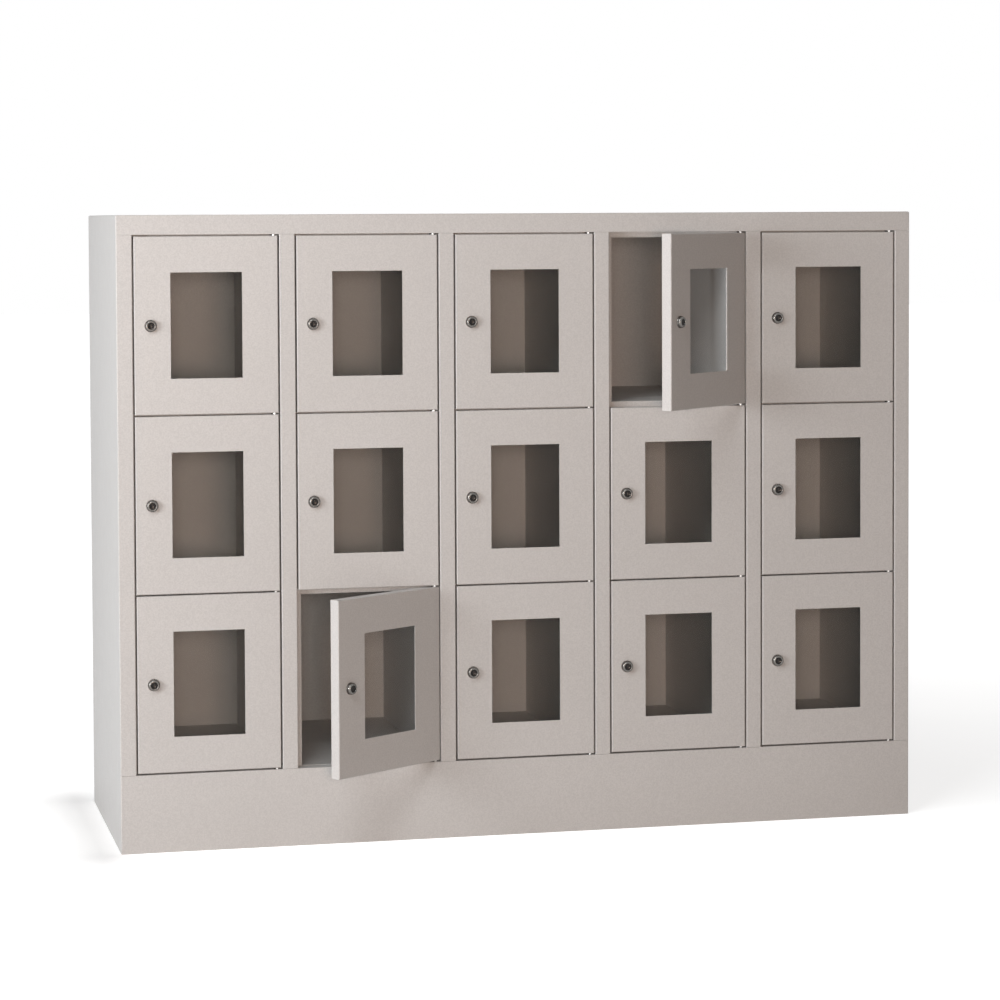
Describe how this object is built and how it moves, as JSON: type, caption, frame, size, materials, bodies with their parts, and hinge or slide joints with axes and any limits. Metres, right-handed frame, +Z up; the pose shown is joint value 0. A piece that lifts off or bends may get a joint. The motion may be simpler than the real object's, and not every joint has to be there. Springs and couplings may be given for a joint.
{
  "type": "compartment locker",
  "caption": "Low steel compartment locker on a plinth, with small windowed doors that hinge on the right and lock on the left",
  "frame": {"origin": "on the floor, under the middle of the body", "axes": "+X to the right along the row of columns, doors face -Y, +Z up"},
  "size_m": [1.53, 0.667, 1.17],
  "materials": {
    "body_paint": "light grey powder coat, satin, fine texture",
    "door_paint": "light grey powder coat, satin, fine texture",
    "window_clear": "clear, polished",
    "lock_nickel": "dark nickel plated, polished",
    "hinge_steel": "zinc plated"
  },
  "bodies": {
    "cabinet": {"side_panel_left": "body_paint", "side_panel_right": "body_paint", "rear_panel": "body_paint", "top_panel": "body_paint", "top_rail": "body_paint", "floor_panel": "body_paint", "plinth_front": "body_paint", "plinth_brace": "body_paint", "partition_1": "body_paint", "partition_2": "body_paint", "partition_3": "body_paint", "partition_4": "body_paint", "shelves_level_1": "body_paint", "shelves_level_2": "body_paint", "hinges": "hinge_steel"},
    "leaf_c1r1": {"door_c1r1": "door_paint", "window_c1r1": "window_clear"},
    "core_c1r1": {"lock_core_c1r1": "lock_nickel"},
    "leaf_c1r2": {"door_c1r2": "door_paint", "window_c1r2": "window_clear"},
    "core_c1r2": {"lock_core_c1r2": "lock_nickel"},
    "leaf_c1r3": {"door_c1r3": "door_paint", "window_c1r3": "window_clear"},
    "core_c1r3": {"lock_core_c1r3": "lock_nickel"},
    "leaf_c2r1": {"door_c2r1": "door_paint", "window_c2r1": "window_clear"},
    "core_c2r1": {"lock_core_c2r1": "lock_nickel"},
    "leaf_c2r2": {"door_c2r2": "door_paint", "window_c2r2": "window_clear"},
    "core_c2r2": {"lock_core_c2r2": "lock_nickel"},
    "leaf_c2r3": {"door_c2r3": "door_paint", "window_c2r3": "window_clear"},
    "core_c2r3": {"lock_core_c2r3": "lock_nickel"},
    "leaf_c3r1": {"door_c3r1": "door_paint", "window_c3r1": "window_clear"},
    "core_c3r1": {"lock_core_c3r1": "lock_nickel"},
    "leaf_c3r2": {"door_c3r2": "door_paint", "window_c3r2": "window_clear"},
    "core_c3r2": {"lock_core_c3r2": "lock_nickel"},
    "leaf_c3r3": {"door_c3r3": "door_paint", "window_c3r3": "window_clear"},
    "core_c3r3": {"lock_core_c3r3": "lock_nickel"},
    "leaf_c4r1": {"door_c4r1": "door_paint", "window_c4r1": "window_clear"},
    "core_c4r1": {"lock_core_c4r1": "lock_nickel"},
    "leaf_c4r2": {"door_c4r2": "door_paint", "window_c4r2": "window_clear"},
    "core_c4r2": {"lock_core_c4r2": "lock_nickel"},
    "leaf_c4r3": {"door_c4r3": "door_paint", "window_c4r3": "window_clear"},
    "core_c4r3": {"lock_core_c4r3": "lock_nickel"},
    "leaf_c5r1": {"door_c5r1": "door_paint", "window_c5r1": "window_clear"},
    "core_c5r1": {"lock_core_c5r1": "lock_nickel"},
    "leaf_c5r2": {"door_c5r2": "door_paint", "window_c5r2": "window_clear"},
    "core_c5r2": {"lock_core_c5r2": "lock_nickel"},
    "leaf_c5r3": {"door_c5r3": "door_paint", "window_c5r3": "window_clear"},
    "core_c5r3": {"lock_core_c5r3": "lock_nickel"}
  },
  "joints": [
    {"name": "door_hinge_c1r1", "type": "hinge", "parent": "cabinet", "child": "leaf_c1r1", "pos_m": [-0.4745, -0.244, 0.968], "axis": [0, 0, 1], "range_deg": [0, 110]},
    {"name": "lock_turn_c1r1", "type": "hinge", "parent": "leaf_c1r1", "child": "core_c1r1", "pos_m": [-0.7025, -0.25, 0.968], "axis": [0, 1, 0], "range_deg": [0, 90]},
    {"name": "door_hinge_c1r2", "type": "hinge", "parent": "cabinet", "child": "leaf_c1r2", "pos_m": [-0.4745, -0.244, 0.639], "axis": [0, 0, 1], "range_deg": [0, 110]},
    {"name": "lock_turn_c1r2", "type": "hinge", "parent": "leaf_c1r2", "child": "core_c1r2", "pos_m": [-0.7025, -0.25, 0.639], "axis": [0, 1, 0], "range_deg": [0, 90]},
    {"name": "door_hinge_c1r3", "type": "hinge", "parent": "cabinet", "child": "leaf_c1r3", "pos_m": [-0.4745, -0.244, 0.31], "axis": [0, 0, 1], "range_deg": [0, 110]},
    {"name": "lock_turn_c1r3", "type": "hinge", "parent": "leaf_c1r3", "child": "core_c1r3", "pos_m": [-0.7025, -0.25, 0.31], "axis": [0, 1, 0], "range_deg": [0, 90]},
    {"name": "door_hinge_c2r1", "type": "hinge", "parent": "cabinet", "child": "leaf_c2r1", "pos_m": [-0.1745, -0.244, 0.968], "axis": [0, 0, 1], "range_deg": [0, 110]},
    {"name": "lock_turn_c2r1", "type": "hinge", "parent": "leaf_c2r1", "child": "core_c2r1", "pos_m": [-0.4025, -0.25, 0.968], "axis": [0, 1, 0], "range_deg": [0, 90]},
    {"name": "door_hinge_c2r2", "type": "hinge", "parent": "cabinet", "child": "leaf_c2r2", "pos_m": [-0.1745, -0.244, 0.639], "axis": [0, 0, 1], "range_deg": [0, 110]},
    {"name": "lock_turn_c2r2", "type": "hinge", "parent": "leaf_c2r2", "child": "core_c2r2", "pos_m": [-0.4025, -0.25, 0.639], "axis": [0, 1, 0], "range_deg": [0, 90]},
    {"name": "door_hinge_c2r3", "type": "hinge", "parent": "cabinet", "child": "leaf_c2r3", "pos_m": [-0.1745, -0.244, 0.31], "axis": [0, 0, 1], "range_deg": [-34, 76]},
    {"name": "lock_turn_c2r3", "type": "hinge", "parent": "leaf_c2r3", "child": "core_c2r3", "pos_m": [-0.36017, -0.37647, 0.31], "axis": [-0.5592, 0.829, 0], "range_deg": [0, 90]},
    {"name": "door_hinge_c3r1", "type": "hinge", "parent": "cabinet", "child": "leaf_c3r1", "pos_m": [0.1255, -0.244, 0.968], "axis": [0, 0, 1], "range_deg": [0, 110]},
    {"name": "lock_turn_c3r1", "type": "hinge", "parent": "leaf_c3r1", "child": "core_c3r1", "pos_m": [-0.1025, -0.25, 0.968], "axis": [0, 1, 0], "range_deg": [0, 90]},
    {"name": "door_hinge_c3r2", "type": "hinge", "parent": "cabinet", "child": "leaf_c3r2", "pos_m": [0.1255, -0.244, 0.639], "axis": [0, 0, 1], "range_deg": [0, 110]},
    {"name": "lock_turn_c3r2", "type": "hinge", "parent": "leaf_c3r2", "child": "core_c3r2", "pos_m": [-0.1025, -0.25, 0.639], "axis": [0, 1, 0], "range_deg": [0, 90]},
    {"name": "door_hinge_c3r3", "type": "hinge", "parent": "cabinet", "child": "leaf_c3r3", "pos_m": [0.1255, -0.244, 0.31], "axis": [0, 0, 1], "range_deg": [0, 110]},
    {"name": "lock_turn_c3r3", "type": "hinge", "parent": "leaf_c3r3", "child": "core_c3r3", "pos_m": [-0.1025, -0.25, 0.31], "axis": [0, 1, 0], "range_deg": [0, 90]},
    {"name": "door_hinge_c4r1", "type": "hinge", "parent": "cabinet", "child": "leaf_c4r1", "pos_m": [0.4255, -0.244, 0.968], "axis": [0, 0, 1], "range_deg": [-41, 69]},
    {"name": "lock_turn_c4r1", "type": "hinge", "parent": "leaf_c4r1", "child": "core_c4r1", "pos_m": [0.25736, -0.39811, 0.968], "axis": [-0.6561, 0.7547, 0], "range_deg": [0, 90]},
    {"name": "door_hinge_c4r2", "type": "hinge", "parent": "cabinet", "child": "leaf_c4r2", "pos_m": [0.4255, -0.244, 0.639], "axis": [0, 0, 1], "range_deg": [0, 110]},
    {"name": "lock_turn_c4r2", "type": "hinge", "parent": "leaf_c4r2", "child": "core_c4r2", "pos_m": [0.1975, -0.25, 0.639], "axis": [0, 1, 0], "range_deg": [0, 90]},
    {"name": "door_hinge_c4r3", "type": "hinge", "parent": "cabinet", "child": "leaf_c4r3", "pos_m": [0.4255, -0.244, 0.31], "axis": [0, 0, 1], "range_deg": [0, 110]},
    {"name": "lock_turn_c4r3", "type": "hinge", "parent": "leaf_c4r3", "child": "core_c4r3", "pos_m": [0.1975, -0.25, 0.31], "axis": [0, 1, 0], "range_deg": [0, 90]},
    {"name": "door_hinge_c5r1", "type": "hinge", "parent": "cabinet", "child": "leaf_c5r1", "pos_m": [0.7255, -0.244, 0.968], "axis": [0, 0, 1], "range_deg": [0, 110]},
    {"name": "lock_turn_c5r1", "type": "hinge", "parent": "leaf_c5r1", "child": "core_c5r1", "pos_m": [0.4975, -0.25, 0.968], "axis": [0, 1, 0], "range_deg": [0, 90]},
    {"name": "door_hinge_c5r2", "type": "hinge", "parent": "cabinet", "child": "leaf_c5r2", "pos_m": [0.7255, -0.244, 0.639], "axis": [0, 0, 1], "range_deg": [0, 110]},
    {"name": "lock_turn_c5r2", "type": "hinge", "parent": "leaf_c5r2", "child": "core_c5r2", "pos_m": [0.4975, -0.25, 0.639], "axis": [0, 1, 0], "range_deg": [0, 90]},
    {"name": "door_hinge_c5r3", "type": "hinge", "parent": "cabinet", "child": "leaf_c5r3", "pos_m": [0.7255, -0.244, 0.31], "axis": [0, 0, 1], "range_deg": [0, 110]},
    {"name": "lock_turn_c5r3", "type": "hinge", "parent": "leaf_c5r3", "child": "core_c5r3", "pos_m": [0.4975, -0.25, 0.31], "axis": [0, 1, 0], "range_deg": [0, 90]}
  ]
}
